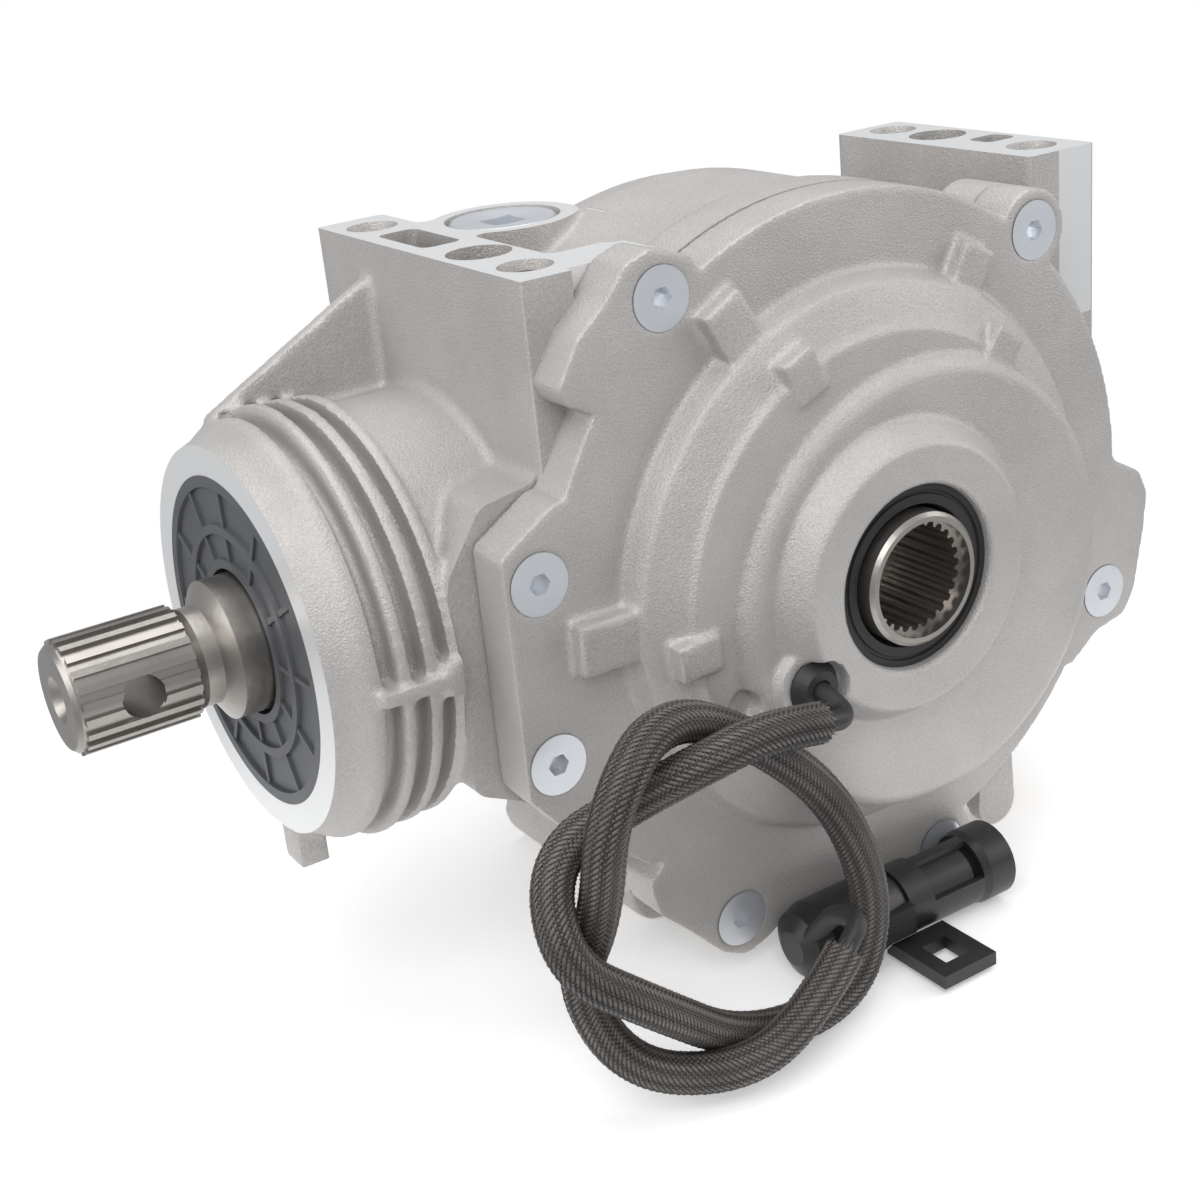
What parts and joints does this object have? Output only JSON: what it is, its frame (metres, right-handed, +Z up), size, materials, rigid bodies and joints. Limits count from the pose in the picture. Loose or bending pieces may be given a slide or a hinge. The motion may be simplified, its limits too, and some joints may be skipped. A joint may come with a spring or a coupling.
{
  "type": "front differential",
  "caption": "Right-angle front drive unit: splined input shaft, bevel gear pair and an electric roller clutch in a cast two-piece housing, with a coiled lead and plug.",
  "frame": {"origin": "where the input shaft axis crosses the axle axis", "axes": "X along the input shaft, which points to -X; Y along the axle, with the bolted cover at -Y; +Z up"},
  "size_m": [0.25, 0.1524, 0.1689],
  "materials": {
    "cast_aluminium": "bead-blasted casting with bright machined faces",
    "zinc_steel": "zinc plated",
    "bright_steel": "ground",
    "machined_steel": "machined, oiled",
    "spring_steel": "phosphated",
    "yellow_zinc": "yellow passivated zinc",
    "copper": "plain copper",
    "bronze": "sintered bronze",
    "black_rubber": "satin",
    "seal_rubber": "satin dark grey",
    "black_plastic": "fine satin",
    "lead_braid": "woven monofilament braid"
  },
  "bodies": {
    "case": {"main_housing": "cast_aluminium", "cover": "cast_aluminium", "cover_screws": "zinc_steel", "cover_oring": "black_rubber", "dowel_pins": "bright_steel", "thread_inserts": "bright_steel", "fill_plug": "zinc_steel", "fill_plug_seal": "black_rubber", "drain_plug": "yellow_zinc", "drain_washer": "copper", "pinion_bearing_outer": "bright_steel", "bearing_snap_ring": "spring_steel", "pinion_seal": "seal_rubber", "pinion_seal_spring": "bright_steel", "axle_seal_cover_side": "black_rubber", "axle_seal_housing_side": "black_rubber", "coil_pole_ring": "machined_steel", "coil_bobbin": "black_plastic", "coil_winding": "copper", "ring_gear_thrust_ring": "black_plastic", "ring_gear_bush": "bronze", "hub_bush_cover_side": "bronze", "hub_bush_housing_side": "bronze", "lead_sleeve": "lead_braid", "coil_wires": "black_rubber", "plug_wires": "black_rubber", "lead_grommet": "black_rubber", "connector_shell": "black_plastic", "connector_body": "black_plastic", "connector_boot": "black_plastic", "connector_terminals": "copper", "connector_clip": "black_plastic"},
    "ring_gear_body": {"ring_gear": "machined_steel"},
    "clutch_cage_body": {"roll_cage": "black_plastic", "clutch_rollers": "bright_steel", "cage_spring": "spring_steel", "armature_plate": "machined_steel"},
    "pinion_body": {"pinion_shaft": "machined_steel", "pinion_bearing_inner": "bright_steel"},
    "bearing_cage_body": {"pinion_bearing_balls": "bright_steel", "pinion_bearing_cage": "black_plastic"},
    "hub_cover_side_body": {"output_hub_cover_side": "machined_steel", "hub_thrust_washer": "bronze"},
    "hub_housing_side_body": {"output_hub_housing_side": "machined_steel"}
  },
  "joints": [
    {"name": "ring_gear_spin", "type": "hinge", "parent": "case", "child": "ring_gear_body", "pos_m": [0, 0, 0], "axis": [0, 1, 0], "continuous": true},
    {"name": "clutch_cage_engage", "type": "hinge", "parent": "ring_gear_body", "child": "clutch_cage_body", "pos_m": [0, 0, 0], "axis": [0, 1, 0], "range_deg": [-3, 3]},
    {"name": "pinion_spin", "type": "hinge", "parent": "case", "child": "pinion_body", "pos_m": [0, 0, 0], "axis": [1, 0, 0], "continuous": true},
    {"name": "bearing_cage_spin", "type": "hinge", "parent": "case", "child": "bearing_cage_body", "pos_m": [0, 0, 0], "axis": [1, 0, 0], "continuous": true},
    {"name": "hub_cover_side_spin", "type": "hinge", "parent": "case", "child": "hub_cover_side_body", "pos_m": [0, 0, 0], "axis": [0, 1, 0], "continuous": true},
    {"name": "hub_housing_side_spin", "type": "hinge", "parent": "case", "child": "hub_housing_side_body", "pos_m": [0, 0, 0], "axis": [0, 1, 0], "continuous": true}
  ],
  "couplings": [
    {"joint": "pinion_spin", "follows": "ring_gear_spin", "ratio": -3},
    {"joint": "bearing_cage_spin", "follows": "ring_gear_spin", "ratio": -1.1916}
  ]
}
